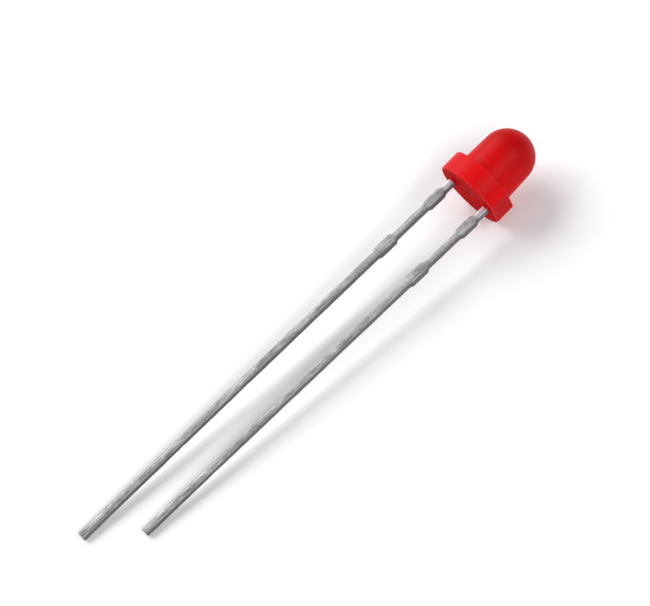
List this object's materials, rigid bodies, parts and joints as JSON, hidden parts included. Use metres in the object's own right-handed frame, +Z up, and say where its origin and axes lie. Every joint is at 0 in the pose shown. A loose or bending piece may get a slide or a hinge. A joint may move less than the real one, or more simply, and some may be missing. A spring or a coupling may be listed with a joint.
{
  "type": "through hole led",
  "caption": "Red clouded through-hole indicator lamp: round flanged lens with a cathode flat on parallel tinned legs of unequal length.",
  "frame": {"origin": "on the surface it lies on, below the middle of its length", "axes": "+X along its length towards the dome, +Y towards the anode's side, +Z up from the surface"},
  "size_m": [0.0316, 0.004, 0.0042],
  "materials": {
    "red_epoxy": "clouded red cast epoxy, satin",
    "tinned_steel": "dull tin-plated sheet with fine drawing marks",
    "chip_crystal": "dark semiconductor crystal",
    "silver_adhesive": "silver-filled epoxy",
    "gold_wire": "drawn gold wire"
  },
  "bodies": {
    "root": {"lens_body": "red_epoxy", "anode_lead": "tinned_steel", "cathode_lead": "tinned_steel", "led_chip": "chip_crystal", "chip_adhesive": "silver_adhesive", "bond_wire": "gold_wire"}
  },
  "joints": []
}
